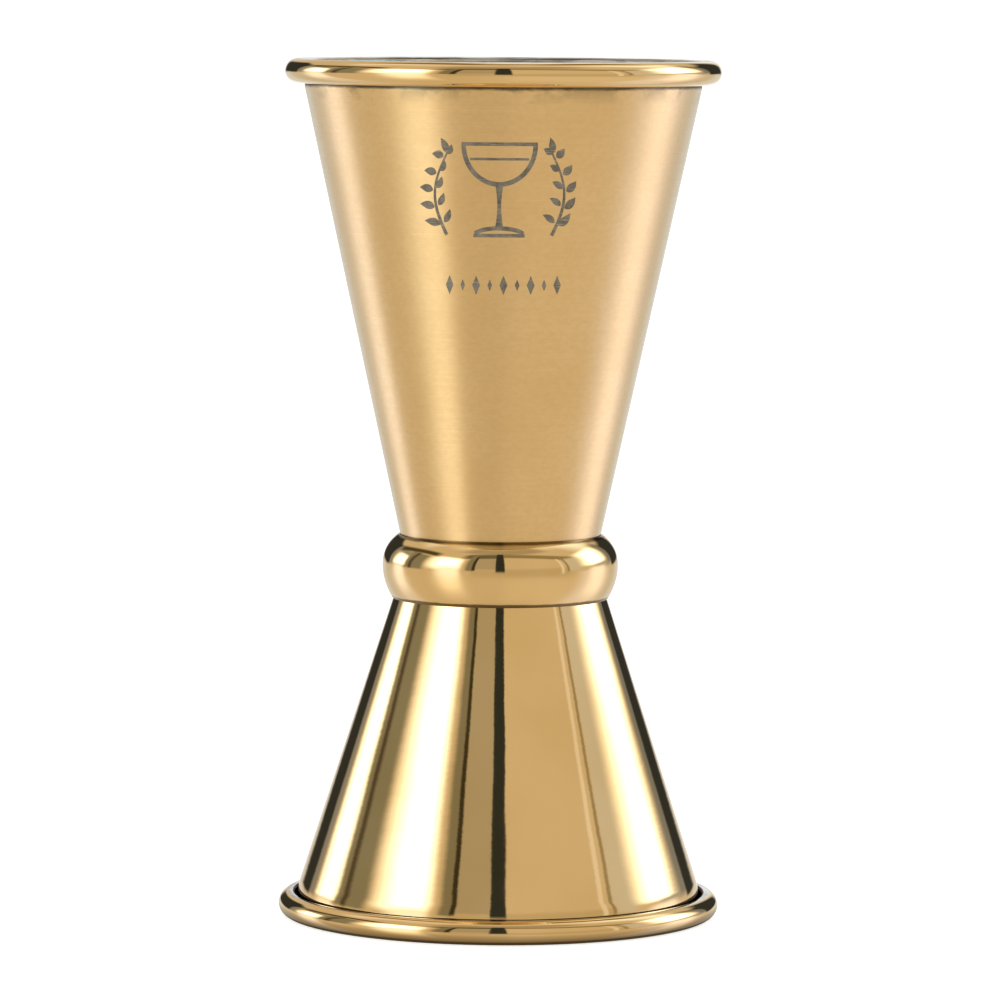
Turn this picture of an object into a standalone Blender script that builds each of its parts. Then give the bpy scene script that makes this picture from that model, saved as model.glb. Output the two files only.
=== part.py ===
"""Bar jigger: two spun steel cups, brazed floor to floor inside a rolled waist collar.

The origin is at the centre of the circle that the jigger stands on, +Z is up, and the unit
is the metre. Every piece is a turned shape: its outline is drawn in the XZ plane and swept
about Z with a Screw modifier.
"""
import math

import bpy

MM = 0.001

# Whole object, millimetres.
HEIGHT = 102.8               # from the lower rim to the upper rim
WAIST_HEIGHT = 42.05         # middle of the braze between the two floors
SHEET = 0.55                 # thickness of the cups' and the collar's sheet
GAP = 0.3                    # clearance between neighbouring pieces
TURN_STEPS = 48              # facets round the axis

# Upper cup, mouth up.
UPPER_RIM_RADIUS = 26.05     # outermost radius of the curl
UPPER_FLOOR_RADIUS = 11.3    # where the wall's outer face meets the floor's outer face
UPPER_NECK_HEIGHT = 3.3      # from the brim to where the cone turns upright
UPPER_NECK_BEND = 2.0        # outer radius of the bend between cone and neck

# Lower cup, mouth down.
LOWER_RIM_RADIUS = 26.45
LOWER_FLOOR_RADIUS = 11.8
LOWER_NECK_HEIGHT = 3.5
LOWER_NECK_BEND = 6.0

# Details that both cups share.
CURL_RADIUS = 1.44           # outer radius of the open curl at the mouth
CURL_TURN = 280.0            # degrees that the sheet turns in the curl
LAND_HALF_ANGLE = 9.0        # half of the curl's arc that is flat at the brim, degrees
CORNER_RADIUS = 1.6          # outer radius between floor and wall

# Waist collar.
COLLAR_RADIUS = 14.15        # widest radius
COLLAR_WIDEST_HEIGHT = 42.46
COLLAR_UPPER_BULGE = 4.2     # radius of the outline above the widest point
COLLAR_LOWER_BULGE = 7.57    # and below it

# Braze between the floors.
BRAZE_RADIUS = 8.0
BRAZE_THICKNESS = 0.4

SATIN_GOLD = (0.80, 0.61, 0.36, 1.0)
POLISHED_GOLD = (0.86, 0.68, 0.40, 1.0)
BRAZE_SILVER = (0.66, 0.60, 0.48, 1.0)


def evenly(first, last, steps):
    """Values from first to last in equal steps, both ends included."""
    return [first + (last - first) * i / steps for i in range(steps + 1)]


class SheetPath:
    """The middle line of a bent sheet, drawn by a pen that goes forward and turns.

    Each sample is a radius, a height and the pen's heading in degrees from +X.
    """

    def __init__(self, radius, height, heading):
        self.samples = [(radius, height, heading)]

    def forward(self, length):
        r, z, heading = self.samples[-1]
        angle = math.radians(heading)
        self.samples.append((r + length * math.cos(angle), z + length * math.sin(angle), heading))

    def turn(self, bend_radius, angles, side):
        """Follow an arc to each of the turned angles; side is 1 to the left, -1 to the right."""
        r, z, heading = self.samples[-1]
        start = math.radians(heading)
        centre_r = r - side * bend_radius * math.sin(start)
        centre_z = z + side * bend_radius * math.cos(start)
        for angle in angles:
            now = start + side * math.radians(angle)
            self.samples.append((centre_r + side * bend_radius * math.sin(now),
                                 centre_z - side * bend_radius * math.cos(now),
                                 math.degrees(now)))

    def beside(self, distance):
        """The line at this distance to the left of the path, or to its right if negative."""
        line = []
        for r, z, heading in self.samples:
            angle = math.radians(heading)
            line.append((r - distance * math.sin(angle), z + distance * math.cos(angle)))
        return line

    def rounded_end(self, thickness, steps):
        """Points that round the sheet's last edge off, from its left side to its right."""
        r, z, heading = self.samples[-1]
        angles = [math.radians(heading + 90.0 - turned) for turned in evenly(0.0, 180.0, steps)]
        half = thickness / 2
        return [(r + half * math.cos(a), z + half * math.sin(a)) for a in angles[1:-1]]


def wall_lean(rim_radius, floor_radius, depth, neck_height):
    """How far the cone leans from the vertical, in degrees."""
    neck_radius = rim_radius - 2 * CURL_RADIUS + SHEET
    return math.degrees(math.atan2(neck_radius - floor_radius, depth - neck_height))


def cup_outline(rim_radius, floor_radius, depth, neck_height, neck_bend):
    """Closed outline of a cup that stands on its floor at height 0, mouth up.

    It starts at the middle of the inner floor, goes up the inside, over the curl and down
    the outside, and ends at the middle of the outer floor.
    """
    half = SHEET / 2
    lean = wall_lean(rim_radius, floor_radius, depth, neck_height)
    lean_rad = math.radians(lean)
    corner_setback = CORNER_RADIUS * math.tan(math.radians(90.0 - lean) / 2)
    neck_setback = neck_bend * math.tan(lean_rad / 2)
    wall_length = (depth - neck_height) / math.cos(lean_rad) - corner_setback - neck_setback
    curl_centre_height = depth - CURL_RADIUS * math.cos(math.radians(LAND_HALF_ANGLE))
    neck_length = curl_centre_height - (depth - neck_height) - neck_setback

    path = SheetPath(0.0, half, 0.0)
    path.forward(floor_radius - corner_setback)
    path.turn(CORNER_RADIUS - half, evenly(0.0, 90.0 - lean, 4)[1:], side=1)
    path.forward(wall_length)
    path.turn(neck_bend - half, evenly(0.0, lean, 2)[1:], side=1)
    path.forward(neck_length)
    inner_quarter = evenly(0.0, 90.0 - LAND_HALF_ANGLE, 5)[1:]
    outer_half = evenly(90.0 + LAND_HALF_ANGLE, CURL_TURN, 9)
    path.turn(CURL_RADIUS - half, inner_quarter + outer_half, side=-1)

    inside = path.beside(half)
    outside = path.beside(-half)
    return inside + path.rounded_end(SHEET, 3) + outside[::-1]


def collar_half(bulge, wall_radius, wall_height, lean, steps):
    """Outer and inner arc of half the collar's section, from its widest point to the wall.

    Heights are counted from the widest point towards the collar's edge. The wall has
    wall_radius at wall_height and leans outwards by lean degrees towards that edge.
    """
    lean_rad = math.radians(lean)
    centre = COLLAR_RADIUS - bulge
    centre_to_wall = (centre - wall_radius) * math.cos(lean_rad) + wall_height * math.sin(lean_rad)
    arcs = []
    for radius in (bulge, bulge - SHEET):
        end = math.acos((GAP - centre_to_wall) / radius) - lean_rad
        arcs.append([(centre + radius * math.cos(a), radius * math.sin(a))
                     for a in evenly(0.0, end, steps)])
    return arcs


def collar_outline():
    """Closed outline of the band's C-shaped section, down its outer side and up its inner."""
    upper_floor, lower_floor = floor_heights()
    upper_lean = wall_lean(UPPER_RIM_RADIUS, UPPER_FLOOR_RADIUS, HEIGHT - upper_floor,
                           UPPER_NECK_HEIGHT)
    lower_lean = wall_lean(LOWER_RIM_RADIUS, LOWER_FLOOR_RADIUS, lower_floor, LOWER_NECK_HEIGHT)
    upper_outer, upper_inner = collar_half(COLLAR_UPPER_BULGE, UPPER_FLOOR_RADIUS,
                                           upper_floor - COLLAR_WIDEST_HEIGHT, upper_lean, 7)
    lower_outer, lower_inner = collar_half(COLLAR_LOWER_BULGE, LOWER_FLOOR_RADIUS,
                                           COLLAR_WIDEST_HEIGHT - lower_floor, lower_lean, 5)
    below_outer = [(r, -h) for r, h in lower_outer[1:]]
    below_inner = [(r, -h) for r, h in lower_inner]
    return upper_outer[::-1] + below_outer + below_inner[::-1] + upper_inner[1:]


def floor_heights():
    """Heights of the upper and of the lower cup's outer floor face."""
    half_space = BRAZE_THICKNESS / 2 + GAP
    return WAIST_HEIGHT + half_space, WAIST_HEIGHT - half_space


def finish_material(name, colour, roughness):
    material = bpy.data.materials.new(name)
    material.use_nodes = True
    shader = material.node_tree.nodes["Principled BSDF"]
    shader.inputs["Base Color"].default_value = colour
    shader.inputs["Metallic"].default_value = 1.0
    shader.inputs["Roughness"].default_value = roughness
    return material


def turned_piece(name, outline, material, collection, height=0.0, closed=False):
    """Sweep an outline of (radius, height) points, in millimetres, about the Z axis."""
    points = [(r * MM, 0.0, z * MM) for r, z in outline]
    edges = [(i, i + 1) for i in range(len(points) - 1)]
    if closed:
        edges.append((len(points) - 1, 0))
    mesh = bpy.data.meshes.new(name)
    mesh.from_pydata(points, edges, [])
    mesh.materials.append(material)
    piece = bpy.data.objects.new(name, mesh)
    piece.location = (0.0, 0.0, height * MM)
    collection.objects.link(piece)
    screw = piece.modifiers.new("turn", "SCREW")
    screw.axis = "Z"
    screw.steps = screw.render_steps = TURN_STEPS
    screw.use_merge_vertices = True
    screw.merge_threshold = 0.00001
    screw.use_smooth_shade = True
    return piece


def main():
    for old in list(bpy.data.objects):
        bpy.data.objects.remove(old)
    jigger = bpy.data.collections.new("bar_jigger")
    bpy.context.scene.collection.children.link(jigger)

    upper_floor, lower_floor = floor_heights()
    satin = finish_material("satin_gold", SATIN_GOLD, 0.34)
    polished = finish_material("polished_gold", POLISHED_GOLD, 0.08)
    collar_gold = finish_material("collar_gold", POLISHED_GOLD, 0.08)
    braze_metal = finish_material("braze_metal", BRAZE_SILVER, 0.45)

    upper = cup_outline(UPPER_RIM_RADIUS, UPPER_FLOOR_RADIUS, HEIGHT - upper_floor,
                        UPPER_NECK_HEIGHT, UPPER_NECK_BEND)
    turned_piece("upper_cup", upper, satin, jigger, height=upper_floor)

    lower = cup_outline(LOWER_RIM_RADIUS, LOWER_FLOOR_RADIUS, lower_floor, LOWER_NECK_HEIGHT,
                        LOWER_NECK_BEND)
    upside_down = [(r, -z) for r, z in reversed(lower)]
    turned_piece("lower_cup", upside_down, polished, jigger, height=lower_floor)

    turned_piece("waist_collar", collar_outline(), collar_gold, jigger,
                 height=COLLAR_WIDEST_HEIGHT, closed=True)

    half = BRAZE_THICKNESS / 2
    braze = [(0.0, half), (BRAZE_RADIUS, half), (BRAZE_RADIUS, -half), (0.0, -half)]
    turned_piece("floor_braze", braze, braze_metal, jigger, height=WAIST_HEIGHT)


main()
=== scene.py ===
"""Looks of the bar jigger: spun gold-plated cups, rolled collar, etched mark and the studio.

Sizes are in millimetres unless a comment says otherwise, and are turned into metres where
vertices are made. The object stands on Z = 0, its axis is Z, and the camera looks along +Y.
"""
import math

import bpy
from mathutils import Matrix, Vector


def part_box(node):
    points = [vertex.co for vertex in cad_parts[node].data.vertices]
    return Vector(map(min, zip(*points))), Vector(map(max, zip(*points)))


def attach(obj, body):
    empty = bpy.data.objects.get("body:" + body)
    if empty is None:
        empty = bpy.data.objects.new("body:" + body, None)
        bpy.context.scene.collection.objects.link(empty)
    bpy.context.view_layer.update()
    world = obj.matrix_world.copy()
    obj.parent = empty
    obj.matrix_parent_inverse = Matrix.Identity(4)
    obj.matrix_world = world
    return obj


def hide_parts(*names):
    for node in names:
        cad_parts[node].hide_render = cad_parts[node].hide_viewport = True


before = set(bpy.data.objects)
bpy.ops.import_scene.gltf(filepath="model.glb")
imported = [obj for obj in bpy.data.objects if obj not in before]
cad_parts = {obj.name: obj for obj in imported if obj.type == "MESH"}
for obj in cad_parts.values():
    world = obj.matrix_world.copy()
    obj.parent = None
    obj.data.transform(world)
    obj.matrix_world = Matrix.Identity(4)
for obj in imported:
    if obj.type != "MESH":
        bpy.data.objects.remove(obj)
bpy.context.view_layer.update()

MM = 0.001
TURN_STEPS = 288             # facets round the axis

# Shared with the CAD source.
SHEET = 0.55                 # thickness of the cups' and the collar's sheet
UPPER_FLOOR_RADIUS = 11.3    # where the wall's outer face meets the floor's outer face
LOWER_FLOOR_RADIUS = 11.8
UPPER_NECK_HEIGHT = 3.3      # from the brim to where the cone turns upright
LOWER_NECK_HEIGHT = 3.5
UPPER_NECK_BEND = 2.0        # outer radius of the bend between cone and neck
LOWER_NECK_BEND = 6.0
CURL_RADIUS = 1.44           # outer radius of the open curl at the mouth
CURL_TURN = 280.0            # degrees that the sheet turns in the curl
CORNER_RADIUS = 1.6          # outer radius between floor and wall
COLLAR_WIDEST_HEIGHT = 42.46
COLLAR_UPPER_BULGE = 4.2     # radius of the collar's outline above its widest point
COLLAR_LOWER_BULGE = 7.57    # and below it

# Unlike the CAD model's, the visible curls have no flat crest, and the visible collar is closer
# to the cups than the 0.3 mm that the CAD model keeps between its pieces.
SEAM = 0.05                  # clearance between the collar's edges and the cups
COLLAR_EDGE = 0.10           # how far the collar's edges are broken

# Camera, fitted to the object's outline and rims.
CAMERA_PLACE = (0.0, -754.66, 112.75)
CAMERA_PITCH = 4.748         # degrees below the horizontal
CAMERA_ROLL = 0.38           # degrees
CAMERA_YAW = 0.0065          # degrees to the left
CAMERA_LENS = 227.2          # on a 36 mm sensor

# Colours, linear.
GOLD = (0.95, 0.73, 0.40)
PALE_GOLD = (0.97, 0.755, 0.425)
DEEP_GOLD = (0.93, 0.705, 0.375)
STEEL = (0.60, 0.63, 0.65)
WORN_STEEL = (0.30, 0.31, 0.31)
GRAIN_GOLD = (0.84, 0.62, 0.31)
STREAK_GOLD = (0.74, 0.53, 0.25)
SMUDGE = (0.33, 0.27, 0.15)
# The next four colours are painted shade: under the upper curl, where the foot's curl nears its
# wall, along the collar's seams, and inside the curls.
RIM_SHADE = (0.10, 0.07, 0.035)
FOOT_SHADE = (0.07, 0.05, 0.03)
SEAM_SHADE = (0.09, 0.06, 0.025)
SHADE_BRONZES = ((0.035, 0.025, 0.015), (0.08, 0.055, 0.03))
INNER_STEELS = ((0.58, 0.59, 0.59), (0.66, 0.665, 0.66))
OXIDES = ((0.13, 0.118, 0.096), (0.27, 0.255, 0.22))
OXIDE_HATCH = (0.42, 0.38, 0.30)
BRAZES = ((0.66, 0.60, 0.46), (0.52, 0.42, 0.28))
FLOOR_PAPER = (0.80, 0.86, 0.92)
CONTACT_SHADE = (0.10, 0.09, 0.08)
WHITE = (1.0, 1.0, 1.0)
SURROUND = (1.05, 1.05, 1.05)    # past white, against faint lines at the picture's edge

# Where finishes and painted shade change. Each span goes from the untouched surface to the full
# effect.
# The next span sets painted shade under the upper curl.
RIM_SHADE_SPAN = (3.35, 3.05)     # below the brim
SMUDGE_SPAN = (5.0, 3.2)         # below the brim
WEAR_SPAN = (12.0, 4.0)          # below the brim, inside
# The next span sets painted shade where the foot's curl nears its wall.
FOOT_SHADE_SPAN = (2.75, 2.35)    # above the table
PLATING_SPAN = (0.35, 0.85)      # outside a rim's crest, from bare steel to gold
DULL_SPAN = (0.6, -1.2)          # above the collar's widest point

# Stage.
FLOOR_REACH = 6.0            # metres from the middle to each edge
FLOOR_GLOW = 0.72            # emission that keeps the paper near white
SHADE_INNER_RADIUS = 23.0    # the invisible ring that dims what the foot mirrors
SHADE_OUTER_RADIUS = 40.0
SHADE_STEPS = 96
SHADE_HEIGHT = 0.02
SHADE_DEEPEST_RADIUS = 26.0
SHADE_CLEAR_RADIUS = 33.0
SHADE_FALLOFF = 0.38         # exponent of the shade's fading between those radii


def box_mm(node):
    low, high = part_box(node)
    return tuple(v / MM for v in low), tuple(v / MM for v in high)


# ---------------------------------------------------------------- turned sheet metal


def evenly(first, last, steps):
    """Values from first to last in equal steps, both ends included."""
    return [first + (last - first) * i / steps for i in range(steps + 1)]


class SheetPath:
    """The middle line of a bent sheet, drawn by a pen that goes forward and turns.

    Each sample is a radius, a height and the pen's heading in degrees from +X. Each stretch
    between samples carries the name of the region that it belongs to.
    """

    def __init__(self, radius, height, heading):
        self.samples = [(radius, height, heading)]
        self.regions = []

    def forward(self, length, region, steps=1):
        r, z, heading = self.samples[-1]
        angle = math.radians(heading)
        for part in evenly(0.0, length, steps)[1:]:
            self.samples.append((r + part * math.cos(angle), z + part * math.sin(angle), heading))
            self.regions.append(region)

    def turn(self, bend_radius, angles, side, region):
        """Follow an arc to each of the turned angles; side is 1 to the left, -1 to the right."""
        r, z, heading = self.samples[-1]
        start = math.radians(heading)
        centre_r = r - side * bend_radius * math.sin(start)
        centre_z = z + side * bend_radius * math.cos(start)
        for angle in angles:
            now = start + side * math.radians(angle)
            self.samples.append((centre_r + side * bend_radius * math.sin(now),
                                 centre_z - side * bend_radius * math.cos(now),
                                 math.degrees(now)))
            self.regions.append(region)

    def beside(self, distance):
        """The line at this distance to the left of the path, or to its right if negative."""
        line = []
        for r, z, heading in self.samples:
            angle = math.radians(heading)
            line.append((r - distance * math.sin(angle), z + distance * math.cos(angle)))
        return line

    def rounded_end(self, thickness, steps):
        """Points that round the sheet's last edge off, from its left side to its right."""
        r, z, heading = self.samples[-1]
        angles = [math.radians(heading + 90.0 - turned) for turned in evenly(0.0, 180.0, steps)]
        half = thickness / 2
        return [(r + half * math.cos(a), z + half * math.sin(a)) for a in angles[1:-1]]


def wall_lean(rim_radius, floor_radius, depth, neck_height):
    """How far the cone leans from the vertical, in radians."""
    neck_radius = rim_radius - 2 * CURL_RADIUS + SHEET
    return math.atan2(neck_radius - floor_radius, depth - neck_height)


def cup_outline(rim_radius, floor_radius, depth, neck_height, neck_bend):
    """Outline of a cup that stands on its floor at height 0, mouth up, and each stretch's region.

    It starts at the middle of the inner floor, goes up the inside, over the curl and down the
    outside, and ends at the middle of the outer floor. Regions are named inside, curl, hollow
    (the curl's concave side), neck, bend and wall.
    """
    half = SHEET / 2
    lean = wall_lean(rim_radius, floor_radius, depth, neck_height)
    lean_degrees = math.degrees(lean)
    corner_setback = CORNER_RADIUS * math.tan((math.pi / 2 - lean) / 2)
    neck_setback = neck_bend * math.tan(lean / 2)
    wall_length = (depth - neck_height) / math.cos(lean) - corner_setback - neck_setback
    neck_length = neck_height - CURL_RADIUS - neck_setback

    path = SheetPath(0.0, half, 0.0)
    path.forward(floor_radius - corner_setback, "wall", 4)
    path.turn(CORNER_RADIUS - half, evenly(0.0, 90.0 - lean_degrees, 16)[1:], 1, "wall")
    path.forward(wall_length, "wall", 12)
    path.turn(neck_bend - half, evenly(0.0, lean_degrees, 12)[1:], 1, "bend")
    path.forward(neck_length, "neck", 2)
    path.turn(CURL_RADIUS - half, evenly(0.0, CURL_TURN, 90)[1:], -1, "curl")

    inside = path.beside(half)
    outside = path.beside(-half)[::-1]
    lip = path.rounded_end(SHEET, 10)
    inner_regions = ["curl" if region == "curl" else "inside" for region in path.regions]
    hidden = ["hollow"] * (len(lip) + 1)
    outer_regions = ["hollow" if region == "curl" else region for region in path.regions]
    return inside + lip + outside, inner_regions + hidden + outer_regions[::-1]


def collar_half(bulge, radius_at_widest, wall_radius, wall_height, lean, steps):
    """Outer and inner arc of half the collar's section, from its widest point to the wall.

    Heights are counted from the widest point towards the collar's edge. The wall has
    wall_radius at wall_height and leans outwards by lean towards that edge.
    """
    centre = radius_at_widest - bulge
    centre_to_wall = (centre - wall_radius) * math.cos(lean) + wall_height * math.sin(lean)
    arcs = []
    for radius in (bulge, bulge - SHEET):
        end = math.acos((SEAM - centre_to_wall) / radius) - lean
        arcs.append([(centre + radius * math.cos(a), radius * math.sin(a))
                     for a in evenly(0.0, end, steps)])
    return arcs


def broken_edge(outer, inner):
    """The outer arc with its sharp last corner, before the cut face, replaced by a small curve."""
    corner = outer[-1]
    kept = [p for p in outer if math.dist(p, corner) > COLLAR_EDGE]
    reach = COLLAR_EDGE / math.dist(inner[-1], corner)
    after = tuple(c + reach * (i - c) for c, i in zip(corner, inner[-1]))
    curve = []
    for t in evenly(0.0, 1.0, 6)[1:]:
        curve.append(tuple((1 - t) ** 2 * b + 2 * t * (1 - t) * c + t * t * a
                           for b, c, a in zip(kept[-1], corner, after)))
    return kept + curve


def collar_outline(upper_wall, lower_wall, widest_radius):
    """Closed outline of the band's C-shaped section, heights from its widest point.

    Each wall is (floor radius, floor height from the widest point, lean).
    """
    upper_outer, upper_inner = collar_half(COLLAR_UPPER_BULGE, widest_radius, *upper_wall, 56)
    lower_outer, lower_inner = collar_half(COLLAR_LOWER_BULGE, widest_radius, *lower_wall, 40)
    upper_outer = broken_edge(upper_outer, upper_inner)
    lower_outer = broken_edge(lower_outer, lower_inner)
    below_outer = [(r, -h) for r, h in lower_outer[1:]]
    below_inner = [(r, -h) for r, h in lower_inner]
    return upper_outer[::-1] + below_outer + below_inner[::-1] + upper_inner[1:]


def new_piece(name, vertices, faces, materials, face_materials=None):
    """A smooth-shaded mesh object from vertices in millimetres, in the row frame."""
    mesh = bpy.data.meshes.new(name)
    mesh.from_pydata([(x * MM, y * MM, z * MM) for x, y, z in vertices], [], faces)
    for material in materials:
        mesh.materials.append(material)
    if face_materials:
        mesh.polygons.foreach_set("material_index", face_materials)
    mesh.shade_smooth()
    mesh.validate()
    piece = bpy.data.objects.new(name, mesh)
    bpy.context.scene.collection.objects.link(piece)
    return piece


def turned(name, outline, regions, materials):
    """Sweep an outline of (radius, height) about Z; a region's name picks its material.

    An outline with as many regions as points closes on itself.
    """
    slots = list(dict.fromkeys(materials.values()))
    vertices, rings = [], []
    for radius, height in outline:
        first = len(vertices)
        if radius < 1e-6:
            vertices.append((0.0, 0.0, height))
            rings.append([first] * TURN_STEPS)
            continue
        for step in range(TURN_STEPS):
            angle = 2 * math.pi * step / TURN_STEPS
            vertices.append((radius * math.cos(angle), radius * math.sin(angle), height))
        rings.append(range(first, first + TURN_STEPS))
    faces, face_materials = [], []
    for i, region in enumerate(regions):
        ring, following = rings[i], rings[(i + 1) % len(rings)]
        for step in range(TURN_STEPS):
            ahead = (step + 1) % TURN_STEPS
            corners = (ring[step], ring[ahead], following[ahead], following[step])
            faces.append(tuple(dict.fromkeys(corners)))
            face_materials.append(slots.index(materials[region]))
    return new_piece(name, vertices, faces, slots, face_materials)


# ---------------------------------------------------------------- node helpers


class Nodes:
    """Short calls that add nodes to a tree and link them."""

    def __init__(self, tree):
        self.tree = tree

    def add(self, kind, **settings):
        node = self.tree.nodes.new("ShaderNode" + kind)
        for name, value in settings.items():
            setattr(node, name, value)
        return node

    def feed(self, socket, value):
        """Link a socket to value if that is a socket, or else set it."""
        if isinstance(value, bpy.types.NodeSocket):
            self.tree.links.new(value, socket)
        else:
            socket.default_value = value

    def math(self, operation, *values):
        node = self.add("Math", operation=operation)
        for socket, value in zip(node.inputs, values):
            self.feed(socket, value)
        return node.outputs[0]

    def ramp(self, value, start, end, low=0.0, high=1.0, smooth=True):
        """low up to start, high from end on, and a smooth or straight rise between."""
        node = self.add("MapRange", interpolation_type="SMOOTHSTEP" if smooth else "LINEAR")
        for name, given in (("Value", value), ("From Min", start), ("From Max", end),
                            ("To Min", low), ("To Max", high)):
            self.feed(node.inputs[name], given)
        return node.outputs["Result"]

    def mix(self, factor, first, second):
        """From the first colour at factor 0 to the second at 1."""
        node = self.add("Mix", data_type="RGBA")
        colours = [s for s in node.inputs if s.type == "RGBA"]
        self.feed(node.inputs[0], factor)
        for socket, value in zip(colours, (first, second)):
            self.feed(socket, value if isinstance(value, bpy.types.NodeSocket) else (*value, 1.0))
        return next(s for s in node.outputs if s.type == "RGBA")

    def object_point(self):
        return self.add("TexCoord").outputs["Object"]

    def split(self, vector):
        node = self.add("SeparateXYZ")
        self.feed(node.inputs[0], vector)
        return tuple(node.outputs)

    def stretched(self, point, scale):
        """point scaled by one factor along each axis."""
        node = self.add("Mapping", vector_type="POINT")
        self.feed(node.inputs["Vector"], point)
        node.inputs["Scale"].default_value = scale
        return node.outputs["Vector"]

    def noise(self, point, scale=1.0, detail=2.0, roughness=0.5):
        node = self.add("TexNoise")
        self.feed(node.inputs["Vector"], point)
        node.inputs["Scale"].default_value = scale
        node.inputs["Detail"].default_value = detail
        node.inputs["Roughness"].default_value = roughness
        return node.outputs[0]

    def bump(self, height, strength, distance, normal=None):
        """A bump whose height input of 1 stands distance metres proud at a strength of 1."""
        node = self.add("Bump")
        node.inputs["Strength"].default_value = strength
        node.inputs["Distance"].default_value = distance
        self.feed(node.inputs["Height"], height)
        if normal is not None:
            self.feed(node.inputs["Normal"], normal)
        return node.outputs["Normal"]


# ---------------------------------------------------------------- finishes


def metal(name, anisotropy=0.0):
    """A metallic material, with its node helper, its shader and its object point."""
    material = bpy.data.materials.new(name)
    material.use_nodes = True
    nodes = Nodes(material.node_tree)
    shader = material.node_tree.nodes["Principled BSDF"]
    shader.inputs["Metallic"].default_value = 1.0
    if anisotropy:
        tangent = nodes.add("Tangent", direction_type="RADIAL", axis="Z")
        nodes.feed(shader.inputs["Tangent"], tangent.outputs[0])
        shader.inputs["Anisotropic"].default_value = anisotropy
        shader.inputs["Anisotropic Rotation"].default_value = 0.25    # a quarter turn
    return material, nodes, shader, nodes.object_point()


def spun_lines(nodes, point, per_mm):
    """Fine lines that run round the axis, with this many across a millimetre."""
    along = 60.0
    stretched = nodes.stretched(point, (along, along, per_mm / MM))
    return nodes.noise(stretched, detail=4.0, roughness=0.65)


def crevice(nodes, point, open_height, deep_height, raggedness):
    """0 on the open surface to 1 in the crevice beside a curl or seam, ragged in between."""
    _, _, z = nodes.split(point)
    blots = nodes.noise(nodes.stretched(point, (260.0, 260.0, 900.0)), detail=4.0, roughness=0.7)
    ragged = nodes.math("MULTIPLY_ADD", nodes.math("SUBTRACT", blots, 0.5), raggedness * MM, z)
    return nodes.ramp(ragged, open_height * MM, deep_height * MM, smooth=False)


def satin_gold(brim_height):
    """Plating brushed round the axis, with painted shade under the upper rim."""
    material, nodes, shader, point = metal("satin_gold", anisotropy=0.62)
    # A clear lacquer, guessed from how pale the satin gets where it turns away.
    shader.inputs["Coat Weight"].default_value = 0.9
    shader.inputs["Coat Roughness"].default_value = 0.22
    lines = spun_lines(nodes, point, 9.0)
    coarse = spun_lines(nodes, point, 1.6)
    clouds = nodes.noise(point, scale=95.0, detail=3.0)
    grain = nodes.noise(nodes.stretched(point, (1300.0, 1300.0, 2100.0)), detail=3.0, roughness=0.6)
    colour = nodes.mix(nodes.ramp(clouds, 0.3, 0.7), DEEP_GOLD, PALE_GOLD)
    colour = nodes.mix(nodes.ramp(grain, 0.35, 0.65, 0.0, 0.35), colour, GRAIN_GOLD)
    streak = nodes.ramp(lines, 0.28, 0.72, 0.0, 0.16, smooth=False)
    colour = nodes.mix(streak, colour, STREAK_GOLD)
    # Painted shade in the crevice under the upper curl; the same mask also roughens the plating
    # there.
    unmarked, full = (brim_height - below for below in RIM_SHADE_SPAN)
    crevice_shade = crevice(nodes, point, unmarked, full, 0.7)
    colour = nodes.mix(nodes.math("MULTIPLY", crevice_shade, 0.93), colour, RIM_SHADE)
    patches = nodes.ramp(nodes.noise(point, scale=210.0, detail=4.0, roughness=0.6), 0.46, 0.60)
    unmarked, full = (brim_height - below for below in SMUDGE_SPAN)
    smudge = crevice(nodes, point, unmarked, full, 1.2)
    smudge = nodes.math("MULTIPLY", nodes.math("MULTIPLY", smudge, patches), 0.55)
    colour = nodes.mix(smudge, colour, SMUDGE)
    nodes.feed(shader.inputs["Base Color"], colour)
    rough = nodes.ramp(lines, 0.2, 0.8, 0.26, 0.35, smooth=False)
    rough = nodes.math("ADD", rough, nodes.ramp(coarse, 0.3, 0.7, -0.02, 0.02))
    rough = nodes.math("MULTIPLY_ADD", crevice_shade, 0.2, rough)
    nodes.feed(shader.inputs["Roughness"], rough)
    normal = nodes.bump(grain, 0.3, 0.000012)
    nodes.feed(shader.inputs["Normal"], nodes.bump(lines, 0.25, 0.00001, normal))
    return material


def polished_gold(name, ripple, chatter=0.0):
    """Plated mirror finish.

    ripple scales the slow waves that the spinning tool left, and chatter the short ones, which
    fray the upright edges of what the surface mirrors.
    """
    material, nodes, shader, point = metal(name)
    clouds = nodes.noise(point, scale=70.0, detail=3.0)
    colour = nodes.mix(nodes.ramp(clouds, 0.35, 0.65), DEEP_GOLD, PALE_GOLD)
    nodes.feed(shader.inputs["Base Color"], colour)
    haze = nodes.noise(point, scale=260.0, detail=5.0, roughness=0.7)
    fine = spun_lines(nodes, point, 14.0)
    rough = nodes.math("ADD", nodes.ramp(haze, 0.35, 0.75, 0.03, 0.055),
                       nodes.ramp(fine, 0.45, 0.8, 0.0, 0.03))
    nodes.feed(shader.inputs["Roughness"], rough)
    waves = nodes.noise(nodes.stretched(point, (150.0, 150.0, 130.0)), detail=1.0)
    rings = nodes.noise(nodes.stretched(point, (8.0, 8.0, 900.0)), detail=1.0)
    normal = nodes.bump(waves, ripple, 0.00006)
    normal = nodes.bump(rings, ripple, 0.000006, normal)
    if chatter:
        short = nodes.noise(nodes.stretched(point, (420.0, 420.0, 1500.0)), detail=2.0)
        normal = nodes.bump(short, chatter, 0.000012, normal)
    nodes.feed(shader.inputs["Normal"], normal)
    return material, nodes, shader, point


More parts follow.
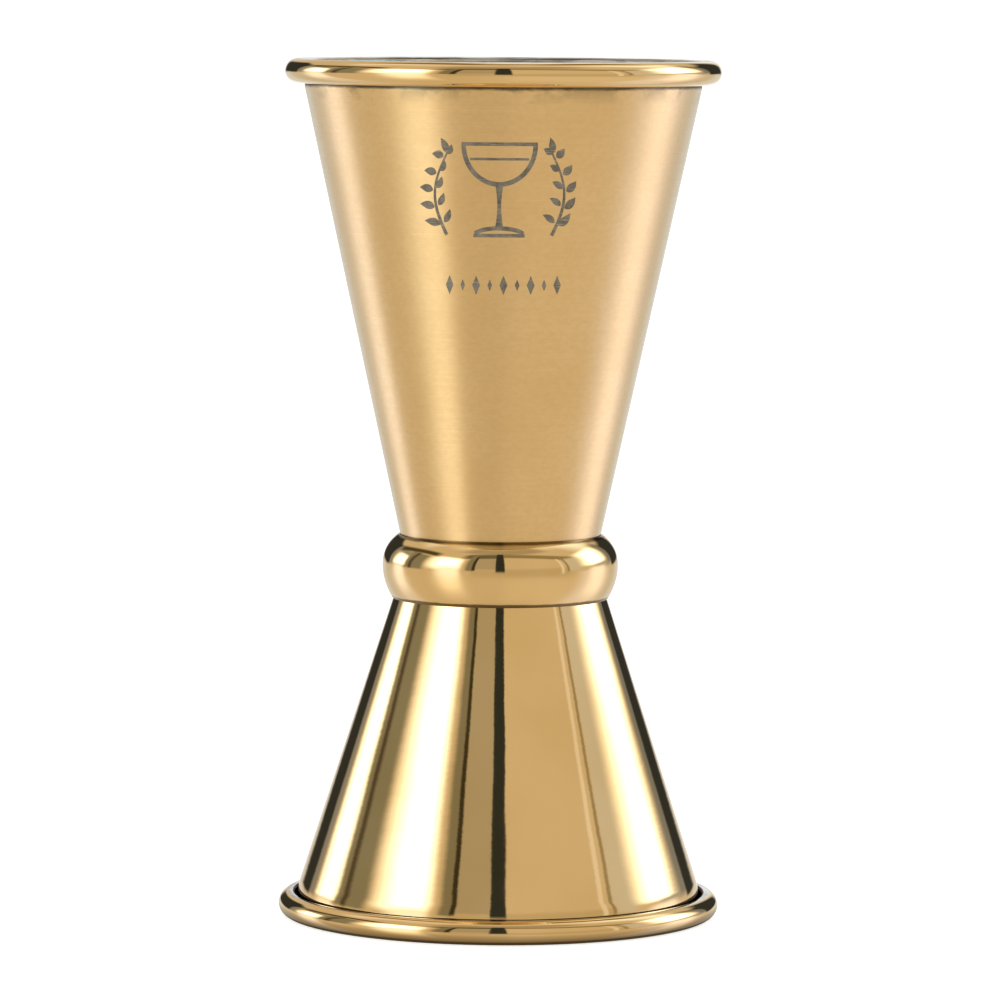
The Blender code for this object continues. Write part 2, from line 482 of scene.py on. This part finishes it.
def foot_mirror():
    """The lower cup's mirror finish, with painted shade where the curl nears the wall."""
    material, nodes, shader, point = polished_gold("mirror_gold", 0.5, 0.5)
    # Painted shade along the gap where the curl's lip nears the wall.
    crevice_shade = crevice(nodes, point, *FOOT_SHADE_SPAN, 0.3)
    gold = shader.inputs["Base Color"].links[0].from_socket
    nodes.feed(shader.inputs["Base Color"], nodes.mix(crevice_shade, gold, FOOT_SHADE))
    return material


def collar_gold(foot, head):
    """The collar's finish: a mirror above, duller below, painted shade along both seams."""
    material, nodes, shader, point = polished_gold("collar_gold", 0.35, 0.15)
    gold = shader.inputs["Base Color"].links[0].from_socket
    # For each seam: where its painted shade starts, where it is full, and how ragged it is.
    seams = ((head - 0.30, head - 0.12, 0.25), (foot + 0.19, foot + 0.06, 0.35))
    for open_height, deep_height, raggedness in seams:
        crevice_shade = crevice(nodes, point, open_height, deep_height, raggedness)
        gold = nodes.mix(nodes.math("MULTIPLY", crevice_shade, 0.85), gold, SEAM_SHADE)
    nodes.feed(shader.inputs["Base Color"], gold)
    # The buff reached the upper half better.
    _, _, z = nodes.split(point)
    bright, dull = ((COLLAR_WIDEST_HEIGHT + above) * MM for above in DULL_SPAN)
    duller = nodes.ramp(z, bright, dull, 0.0, 0.15)
    rough = shader.inputs["Roughness"].links[0].from_socket
    nodes.feed(shader.inputs["Roughness"], nodes.math("ADD", rough, duller))
    return material


def rim_gold(name, crest_radius, ripple):
    """Polished gold on a rim's outer side, worn to bare steel at the crest and inside it."""
    material, nodes, shader, point = polished_gold(name, ripple)
    x, y, _ = nodes.split(point)
    squares = nodes.math("ADD", nodes.math("MULTIPLY", x, x), nodes.math("MULTIPLY", y, y))
    radius = nodes.math("SQRT", squares)
    ragged = nodes.math("MULTIPLY", nodes.noise(point, scale=700.0, detail=4.0), 0.0005)
    bare, gilt = ((crest_radius + outside) * MM for outside in PLATING_SPAN)
    plated = nodes.ramp(nodes.math("ADD", radius, ragged), bare, gilt)
    gold = shader.inputs["Base Color"].links[0].from_socket
    rough = shader.inputs["Roughness"].links[0].from_socket
    worn = nodes.noise(nodes.stretched(point, (160.0, 160.0, 1800.0)), detail=5.0, roughness=0.7)
    steel = nodes.mix(nodes.ramp(worn, 0.40, 0.60), WORN_STEEL, STEEL)
    nodes.feed(shader.inputs["Base Color"], nodes.mix(plated, steel, gold))
    steel_rough = nodes.math("ADD", rough, 0.1)
    nodes.feed(shader.inputs["Roughness"], nodes.ramp(plated, 0.0, 1.0, steel_rough, rough,
                                                      smooth=False))
    return material


def hollow_shade_bronze():
    """Inside the open curl the plating is thin and dull; its near-black colour is painted shade."""
    material, nodes, shader, point = metal("hollow_shade_bronze")
    clouds = nodes.noise(point, scale=600.0, detail=4.0, roughness=0.7)
    # Near-black bronze: painted shade inside the curl and on the lip's rounded end.
    colour = nodes.mix(nodes.ramp(clouds, 0.3, 0.7), *SHADE_BRONZES)
    nodes.feed(shader.inputs["Base Color"], colour)
    nodes.feed(shader.inputs["Roughness"], nodes.ramp(clouds, 0.3, 0.7, 0.35, 0.6))
    nodes.feed(shader.inputs["Normal"], nodes.bump(clouds, 0.3, 0.00004))
    return material


def bare_steel(brim_height):
    """Brushed steel, dulled in streaks just inside the upper brim."""
    material, nodes, shader, point = metal("bare_steel", anisotropy=0.6)
    lines = spun_lines(nodes, point, 7.0)
    clouds = nodes.noise(point, scale=80.0, detail=3.0)
    colour = nodes.mix(nodes.ramp(clouds, 0.3, 0.7), *INNER_STEELS)
    worn = nodes.noise(nodes.stretched(point, (110.0, 110.0, 1500.0)), detail=5.0, roughness=0.7)
    _, _, z = nodes.split(point)
    unmarked, full = ((brim_height - below) * MM for below in WEAR_SPAN)
    near_brim = nodes.ramp(z, unmarked, full)
    streaks = nodes.math("MULTIPLY", nodes.ramp(worn, 0.56, 0.68, 0.0, 0.6), near_brim)
    colour = nodes.mix(streaks, colour, WORN_STEEL)
    nodes.feed(shader.inputs["Base Color"], colour)
    nodes.feed(shader.inputs["Roughness"], nodes.ramp(lines, 0.2, 0.8, 0.18, 0.32, smooth=False))
    nodes.feed(shader.inputs["Normal"], nodes.bump(lines, 0.3, 0.00001))
    return material


def etched_oxide():
    """The matt grey skin that a marking laser leaves, with its hatch lines."""
    material, nodes, shader, point = metal("etched_oxide")
    hatch = nodes.noise(nodes.stretched(point, (500.0, 500.0, 9000.0)), detail=2.0)
    blotch = nodes.noise(point, scale=900.0, detail=4.0, roughness=0.7)
    colour = nodes.mix(nodes.ramp(blotch, 0.3, 0.7), *OXIDES)
    colour = nodes.mix(nodes.ramp(hatch, 0.55, 0.75), colour, OXIDE_HATCH)
    nodes.feed(shader.inputs["Base Color"], colour)
    shader.inputs["Metallic"].default_value = 0.55
    nodes.feed(shader.inputs["Roughness"], nodes.ramp(blotch, 0.3, 0.7, 0.48, 0.68))
    nodes.feed(shader.inputs["Normal"], nodes.bump(hatch, 0.4, 0.00001))
    return material


def braze_metal():
    """Silver braze as it set: pale, finely pitted and tinted by heat."""
    material, nodes, shader, point = metal("braze_metal")
    pits = nodes.noise(point, scale=900.0, detail=5.0, roughness=0.65)
    heat = nodes.noise(point, scale=220.0, detail=2.0)
    colour = nodes.mix(nodes.ramp(heat, 0.35, 0.65), *BRAZES)
    nodes.feed(shader.inputs["Base Color"], colour)
    nodes.feed(shader.inputs["Roughness"], nodes.ramp(pits, 0.3, 0.7, 0.38, 0.62))
    nodes.feed(shader.inputs["Normal"], nodes.bump(pits, 0.5, 0.00004))
    return material


# ---------------------------------------------------------------- studio


def linear(level):
    """An sRGB level, where 255 is white, as linear light."""
    level /= 255.0
    return level / 12.92 if level <= 0.04045 else ((level + 0.055) / 1.055) ** 2.4


def seen_as(look, azimuth):
    """Radiance that polished gold, upright and facing the camera, shows as this sRGB colour.

    Light from behind the object is mirrored at its edges, at a grazing angle, where gold is pale.
    """
    grazing = (1.0 - math.cos(math.radians(azimuth / 2))) ** 5
    return tuple(linear(level) / (tint + (1.0 - tint) * grazing)
                 for level, tint in zip(look, GOLD))


class Studio:
    """The world: soft panels, walls and flags, painted over each other by direction."""

    def __init__(self):
        world = bpy.data.worlds.new("studio")
        world.use_nodes = True
        bpy.context.scene.world = world
        world.node_tree.nodes.clear()
        self.nodes = nodes = Nodes(world.node_tree)
        x, y, z = nodes.split(nodes.add("TexCoord").outputs["Generated"])
        degrees = 180.0 / math.pi
        front = nodes.math("ARCTAN2", x, nodes.math("MULTIPLY", y, -1.0))
        back = nodes.math("ARCTAN2", nodes.math("MULTIPLY", x, -1.0), y)
        self.azimuth = {"front": nodes.math("MULTIPLY", front, degrees),
                        "back": nodes.math("MULTIPLY", back, degrees)}
        self.height = nodes.math("MULTIPLY", nodes.math("ARCSINE", z), degrees)
        self.colour = None

    def panel(self, azimuth, height, look, fade=(4.0, 4.0, 4.0, 4.0), side="front",
              slant=(0.0, 0.0), droop=0.0, crest=0.0):
        """A soft-edged rectangle of directions, in degrees.

        Azimuths on the front side count from the camera's side, positive towards +X, and on
        the back side from straight behind the object, positive towards -X.
        look is a white level, or an sRGB colour as polished gold shows it, which passes 255
        where it is over-exposed. fade is how wide the left, right, lower and upper edges are.
        slant moves the left and the right edge by this many degrees of azimuth for each degree
        of height above the middle. droop lowers the panel by this many degrees at 100 degrees
        of azimuth from crest, and less by the square nearer to it.
        """
        nodes = self.nodes
        along, up = self.azimuth[side], self.height
        if isinstance(look, float):
            colour = (look, look, look)
        else:
            middle = abs(azimuth[0] + azimuth[1]) / 2
            colour = seen_as(look, middle if side == "front" else 180.0 - middle)
        if droop:
            share = nodes.math("MULTIPLY", nodes.math("SUBTRACT", along, crest), 0.01)
            up = nodes.math("MULTIPLY_ADD", nodes.math("MULTIPLY", share, share), droop, up)
        leaning = [along, along]
        if any(slant):
            above = nodes.math("SUBTRACT", up, (height[0] + height[1]) / 2)
            leaning = [nodes.math("MULTIPLY_ADD", above, -lean, along) for lean in slant]
        left, right, low, high = (max(width, 0.1) / 2 for width in fade)
        edges = [nodes.ramp(leaning[0], azimuth[0] - left, azimuth[0] + left),
                 nodes.ramp(leaning[1], azimuth[1] - right, azimuth[1] + right, 1.0, 0.0),
                 nodes.ramp(up, height[0] - low, height[0] + low),
                 nodes.ramp(up, height[1] - high, height[1] + high, 1.0, 0.0)]
        mask = edges[0]
        for edge in edges[1:]:
            mask = nodes.math("MULTIPLY", mask, edge)
        self.colour = colour if self.colour is None else nodes.mix(mask, self.colour, colour)

    def finish(self, seen_by_camera):
        """The camera itself sees a plain white surround."""
        nodes = self.nodes
        path = nodes.add("LightPath")
        colour = nodes.mix(path.outputs["Is Camera Ray"], self.colour, seen_by_camera)
        background = nodes.add("Background")
        nodes.feed(background.inputs["Color"], colour)
        output = nodes.add("OutputWorld")
        nodes.feed(output.inputs["Surface"], background.outputs[0])


def build_studio():
    """A photographer's room, its panels set one by one so that the polished gold mirrors the right
    bands.
    """
    studio = Studio()
    panel = studio.panel
    panel((-190, 190), (-95, 95), (204, 165, 106), (0, 0, 0, 0))
    panel((4, 88), (-60, -8), (213, 173, 113), (16, 16, 24, 12))
    # Ceiling: darker over the camera, brighter over both sides, dark again far behind.
    panel((-62, 78), (58, 76), (166, 134, 84), (40, 40, 8, 12))
    panel((-132, -66), (62, 88), (220, 183, 125), (20, 30, 12, 8))
    panel((-142, -114), (46, 70), (232, 198, 148), (14, 16, 10, 14))
    panel((84, 156), (60, 88), (228, 190, 130), (24, 20, 12, 8))
    panel((106, 146), (38, 66), (242, 212, 160), (24, 10, 8, 16))
    panel((120, 147), (40, 64), (254, 240, 186), (16, 8, 10, 10))
    panel((-40, 33), (47, 76), (134, 104, 60), (8, 8, 10, 10), side="back")
    # The wall behind the camera, darker on its left, with a dark arch over it.
    panel((-30, 75), (-12, 10), (190, 153, 95), (6, 20, 14, 10))
    panel((-30, -3), (9, 46), (171, 141, 92), (4, 2, 6, 5))
    panel((-44, 3), (45, 59), (104, 86, 50), (14, 3, 5, 8), droop=30.0)
    panel((1, 93), (48, 60), (142, 112, 60), (3, 22, 6, 8), droop=35.0)
    panel((-35, -27), (3, 52), (128, 108, 68), (5, 3, 8, 8))
    panel((-28.3, -25.0), (4, 48), (58, 46, 20), (1.6, 1.6, 8, 8))
    panel((-4.6, 4.6), (0, 60), (47, 44, 29), (1.3, 1.3, 12, 4))
    panel((62.6, 65.8), (-6, 34), (226, 190, 136), (2, 1.6, 6, 8))
    panel((69.2, 71.8), (-2, 36), (150, 122, 74), (1.6, 2, 6, 8))
    panel((72.5, 88), (0, 32), (200, 172, 125), (2, 10, 6, 8))
    # Left: dim wall with a dark post, main soft box, second soft box under a dark arch, flag.
    panel((-112, -83), (-1, 34), (132, 114, 75), (6, 10, 6, 5))
    panel((-103.0, -98.4), (-1, 34), (82, 64, 38), (3.4, 4.4, 6, 5))
    panel((-72, -43.2), (7, 37), 2.9, (30, 13, 18, 12))
    panel((-134, -108), (20, 30), (150, 129, 94), (12, 6, 6, 8))
    panel((-127, -109.5), (2.5, 20), 2.5, (12, 7, 6, 8), slant=(0.3, 0.0))
    panel((-152, -76), (37, 46), (74, 60, 29), (8, 14, 5, 6), droop=70.0, crest=-85.0)
    panel((-143, -132), (-1, 26), (138, 124, 99), (4, 7, 4, 6))
    panel((-168, -138.8), (-2.6, 26), (50, 46, 36), (5, 4, 4, 4), slant=(0.95, 0.1))
    # Right: soft box, dim gap at the table's edge, flag.
    panel((95, 125), (8, 37), 2.8, (26, 20, 8, 9))
    panel((108, 150), (0, 7), (166, 148, 116), (14, 8, 4, 6))
    panel((132, 142), (3, 34), (124, 114, 92), (8, 6, 6, 8))
    panel((140, 168), (-2.2, 27), (50, 47, 39), (4, 6, 2.6, 7), slant=(0.0, -0.3))
    # Behind the object the table turns into a white sweep.
    panel((-50, 50), (-62, -3), (205, 199, 189), (14, 14, 22, 5), side="back")
    panel((-30, 27), (-44, -2), (218, 216, 210), (12, 12, 22, 4), side="back")
    panel((-11, 9), (-30, 4), 1.0, (12, 12, 16, 4), side="back")
    panel((-12, 8), (1, 64), (214, 204, 186), (6, 8, 3, 12), side="back")
    panel((-8, 3), (4, 52), 1.0, (6, 6, 6, 16), side="back")
    # The soft boxes' glow on the table, over-exposed at its heart.
    panel((-70, -39), (-50, -2), (228, 188, 128), (24, 10, 26, 8))
    panel((-63, -42), (-33, 6), (282, 236, 164), (20, 10, 26, 8))
    panel((-64, -43), (-12, 14), (262, 246, 190), (20, 8, 22, 14))
    panel((-133, -108), (-46, -4), (224, 192, 148), (12, 10, 26, 6))
    panel((-127, -111), (-24, 1), (276, 241, 190), (14, 8, 20, 6))
    panel((86, 133), (-56, -3), (226, 193, 149), (16, 12, 24, 6))
    panel((100, 124), (-32, 2), (274, 236, 184), (16, 14, 22, 8))
    studio.finish(SURROUND)


def build_floor():
    """A pale floor that shows almost white, with a faint shadow where the object touches it.

    It is hidden from reflections, because the studio's lower panels stand for the table there.
    """
    mesh = bpy.data.meshes.new("floor")
    corners = [(-1, -1), (1, -1), (1, 1), (-1, 1)]
    mesh.from_pydata([(x * FLOOR_REACH, y * FLOOR_REACH, 0.0) for x, y in corners], [],
                     [(0, 1, 2, 3)])
    floor = bpy.data.objects.new("floor", mesh)
    bpy.context.scene.collection.objects.link(floor)
    material = bpy.data.materials.new("floor_paper")
    material.use_nodes = True
    shader = material.node_tree.nodes["Principled BSDF"]
    shader.inputs["Base Color"].default_value = (*FLOOR_PAPER, 1.0)
    shader.inputs["Roughness"].default_value = 0.9
    shader.inputs["Specular IOR Level"].default_value = 0.0
    shader.inputs["Emission Color"].default_value = (*WHITE, 1.0)
    shader.inputs["Emission Strength"].default_value = FLOOR_GLOW
    mesh.materials.append(material)
    floor.visible_glossy = False


def build_contact_shade():
    """Dims what the foot's underside mirrors of the table close by, where it stands in shade."""
    vertices, faces = [], []
    for radius in (SHADE_INNER_RADIUS, SHADE_OUTER_RADIUS):
        for i in range(SHADE_STEPS):
            angle = 2 * math.pi * i / SHADE_STEPS
            vertices.append((radius * math.cos(angle), radius * math.sin(angle), SHADE_HEIGHT))
    for i in range(SHADE_STEPS):
        ahead = (i + 1) % SHADE_STEPS
        faces.append((i, ahead, SHADE_STEPS + ahead, SHADE_STEPS + i))
    material = bpy.data.materials.new("contact_shade")
    material.use_nodes = True
    material.node_tree.nodes.clear()
    nodes = Nodes(material.node_tree)
    x, y, _ = nodes.split(nodes.object_point())
    squares = nodes.math("ADD", nodes.math("MULTIPLY", x, x), nodes.math("MULTIPLY", y, y))
    share = nodes.ramp(nodes.math("SQRT", squares), SHADE_DEEPEST_RADIUS * MM,
                       SHADE_CLEAR_RADIUS * MM, smooth=False)
    share = nodes.math("POWER", share, SHADE_FALLOFF)
    clear = nodes.add("BsdfTransparent")
    nodes.feed(clear.inputs[0], nodes.mix(share, CONTACT_SHADE, WHITE))
    nodes.feed(nodes.add("OutputMaterial").inputs["Surface"], clear.outputs[0])
    shade = new_piece("contact_shade", vertices, faces, [material])
    shade.visible_camera = False
    shade.visible_diffuse = False
    shade.visible_shadow = False


def build_camera():
    data = bpy.data.cameras.new("camera")
    data.lens = CAMERA_LENS
    data.clip_start = 0.05
    data.clip_end = 50.0
    camera = bpy.data.objects.new("camera", data)
    place = Matrix.Translation([v * MM for v in CAMERA_PLACE])
    yaw = Matrix.Rotation(math.radians(CAMERA_YAW), 4, "Z")
    pitch = Matrix.Rotation(math.radians(90.0 - CAMERA_PITCH), 4, "X")
    roll = Matrix.Rotation(math.radians(CAMERA_ROLL), 4, "Z")
    camera.matrix_world = place @ yaw @ pitch @ roll
    bpy.context.scene.collection.objects.link(camera)
    bpy.context.scene.camera = camera
    bpy.context.scene.view_settings.view_transform = "Standard"


# ---------------------------------------------------------------- the object


def build_cups():
    """Both cups and the collar, in place of the coarser CAD pieces, and the braze's finish.

    Returns the height of the upper cup's floor and the lean of its wall, for the mark.
    """
    (_, _, upper_floor), (upper_rim, _, top) = box_mm("upper_cup")
    _, (lower_rim, _, lower_floor) = box_mm("lower_cup")
    (_, _, collar_foot), (widest, _, collar_head) = box_mm("waist_collar")
    satin, steel = satin_gold(top), bare_steel(top)
    mirror = foot_mirror()
    collar_mirror = collar_gold(collar_foot, collar_head)
    rim = rim_gold("rim_gold", upper_rim - CURL_RADIUS, 0.3)
    foot = rim_gold("foot_gold", lower_rim - CURL_RADIUS, 0.3)
    hollow = hollow_shade_bronze()

    depth = top - upper_floor
    upper_lean = wall_lean(upper_rim, UPPER_FLOOR_RADIUS, depth, UPPER_NECK_HEIGHT)
    outline, regions = cup_outline(upper_rim, UPPER_FLOOR_RADIUS, depth, UPPER_NECK_HEIGHT,
                                   UPPER_NECK_BEND)
    outline = [(r, upper_floor + z) for r, z in outline]
    upper = turned("upper_cup_spun", outline, regions,
                   {"wall": satin, "bend": satin, "neck": satin, "hollow": hollow,
                    "curl": rim, "inside": steel})
    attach(upper, "root")
    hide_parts("upper_cup")

    lower_lean = wall_lean(lower_rim, LOWER_FLOOR_RADIUS, lower_floor, LOWER_NECK_HEIGHT)
    outline, regions = cup_outline(lower_rim, LOWER_FLOOR_RADIUS, lower_floor, LOWER_NECK_HEIGHT,
                                   LOWER_NECK_BEND)
    outline = [(r, lower_floor - z) for r, z in reversed(outline)]
    lower = turned("lower_cup_spun", outline, regions[::-1],
                   {"wall": mirror, "bend": mirror, "neck": mirror, "hollow": hollow,
                    "curl": foot, "inside": steel})
    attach(lower, "root")
    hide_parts("lower_cup")

    upper_wall = (UPPER_FLOOR_RADIUS, upper_floor - COLLAR_WIDEST_HEIGHT, upper_lean)
    lower_wall = (LOWER_FLOOR_RADIUS, COLLAR_WIDEST_HEIGHT - lower_floor, lower_lean)
    outline = [(r, COLLAR_WIDEST_HEIGHT + z)
               for r, z in collar_outline(upper_wall, lower_wall, widest)]
    collar = turned("waist_collar_rolled", outline, ["band"] * len(outline),
                    {"band": collar_mirror})
    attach(collar, "root")
    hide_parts("waist_collar")

    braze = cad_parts["floor_braze"]
    braze.data.materials.clear()
    braze.data.materials.append(braze_metal())
    return upper_floor, upper_lean


# ---------------------------------------------------------------- etched mark

MARK_PLACE = (-0.4, 88.2)    # its middle: across from the front line, and height
MARK_PROUD = 0.012           # how far its face stands off the wall
MARK_DEPTH = 0.05            # how far it reaches into the wall
MARK_THINNEST = 0.04         # width that no line goes below


class Etcher:
    """Collects thin closed ribbons that lie on the upper cup's wall, facing the camera."""

    def __init__(self, upper_floor, upper_lean):
        self.floor, self.lean = upper_floor, upper_lean
        self.vertices, self.faces = [], []

    def on_wall(self, across, height, proud):
        """The point this far round the wall from the front line, and this far off the wall."""
        radius = UPPER_FLOOR_RADIUS + math.tan(self.lean) * (height - self.floor)
        angle = across / radius
        out = radius + proud
        return (out * math.sin(angle), -out * math.cos(angle), height)

    def ribbon(self, points, widths):
        """A band along points (across, up from the mark's middle) with a width at each."""
        first = len(self.vertices)
        count = len(points)
        for i, ((x, y), width) in enumerate(zip(points, widths)):
            before, after = points[max(i - 1, 0)], points[min(i + 1, count - 1)]
            dx, dy = after[0] - before[0], after[1] - before[1]
            length = math.hypot(dx, dy)
            half = max(width, MARK_THINNEST) / 2
            side = (-dy / length * half, dx / length * half)
            for sign, proud in ((1, MARK_PROUD), (-1, MARK_PROUD), (-1, -MARK_DEPTH),
                                (1, -MARK_DEPTH)):
                self.vertices.append(self.on_wall(MARK_PLACE[0] + x + sign * side[0],
                                                  MARK_PLACE[1] + y + sign * side[1], proud))
        for i in range(count - 1):
            a, b = first + 4 * i, first + 4 * (i + 1)
            for j in range(4):
                k = (j + 1) % 4
                self.faces.append((a + j, b + j, b + k, a + k))
        self.faces.append((first, first + 1, first + 2, first + 3))
        last = first + 4 * (count - 1)
        self.faces.append((last + 3, last + 2, last + 1, last))

    def line(self, points, width):
        self.ribbon(points, [width] * len(points))

    def leaf(self, base, heading, length, width):
        """A pointed leaf that starts at base and bends a little as it goes."""
        points, widths = [], []
        for t in evenly(0.0, 1.0, 10):
            bend = math.radians(heading + 16.0 * t)
            points.append((base[0] + length * t * math.cos(bend),
                           base[1] + length * t * math.sin(bend)))
            widths.append(width * math.sin(math.pi * t ** 0.8) ** 0.9)
        self.ribbon(points, widths)


def arc(centre, radii, start, end, steps):
    """Points along an ellipse's arc, angles in degrees."""
    return [(centre[0] + radii[0] * math.cos(math.radians(a)),
             centre[1] + radii[1] * math.sin(math.radians(a))) for a in evenly(start, end, steps)]


def build_mark(upper_floor, upper_lean):
    """A generic etched ornament: a cocktail coupe between two herb sprigs, over lozenges."""
    etcher = Etcher(upper_floor, upper_lean)
    # Coupe: bowl, rim, drink line, stem and foot.
    etcher.line(arc((0.0, 5.0), (4.2, 4.6), 180.0, 360.0, 40), 0.55)
    for half_length, up, width in ((4.45, 5.1, 0.42), (3.45, 3.35, 0.3), (3.0, -5.6, 0.42)):
        etcher.line([(x, up) for x in evenly(-half_length, half_length, 24)], width)
    etcher.ribbon([(0.0, y) for y in evenly(0.2, -4.6, 12)],
                  [0.9 - 0.45 * math.sin(math.pi * t) for t in evenly(0.0, 1.0, 12)])
    etcher.line(arc((0.0, -5.6), (2.9, 0.85), 165.0, 15.0, 20), 0.5)
    # Sprigs: one curved stem with paired leaves on each side.
    for side in (-1, 1):
        stem = [(side * (6.2 + 1.5 * math.sin(math.pi * t)), -5.6 + 9.6 * t)
                for t in evenly(0.0, 1.0, 24)]
        etcher.ribbon(stem, [0.42 - 0.2 * t for t in evenly(0.0, 1.0, 24)])
        for step in range(3, 24, 5):
            x, y = stem[step]
            size = 2.1 - 0.03 * step
            etcher.leaf((x + 0.25 * side, y), 90 - side * 62, size, 0.95)
            etcher.leaf((x - 0.25 * side, y + 0.3), 90 + side * 40, size * 0.85, 0.8)
        etcher.leaf(stem[-1], 90 - side * 8, 1.9, 0.85)
    # Row of lozenges.
    for i in range(-4, 5):
        tall = 2.2 if i % 2 == 0 else 1.3
        x = 0.55 + 1.6 * i
        etcher.ribbon([(x, -11.45 + tall * (t - 0.5)) for t in (0.0, 0.5, 1.0)],
                      [0.0, tall * 0.42, 0.0])
    mark = new_piece("etched_mark", etcher.vertices, etcher.faces, [etched_oxide()])
    mark.data.shade_flat()
    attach(mark, "root")


def main():
    build_camera()
    build_studio()
    build_floor()
    build_contact_shade()
    upper_floor, upper_lean = build_cups()
    build_mark(upper_floor, upper_lean)


main()
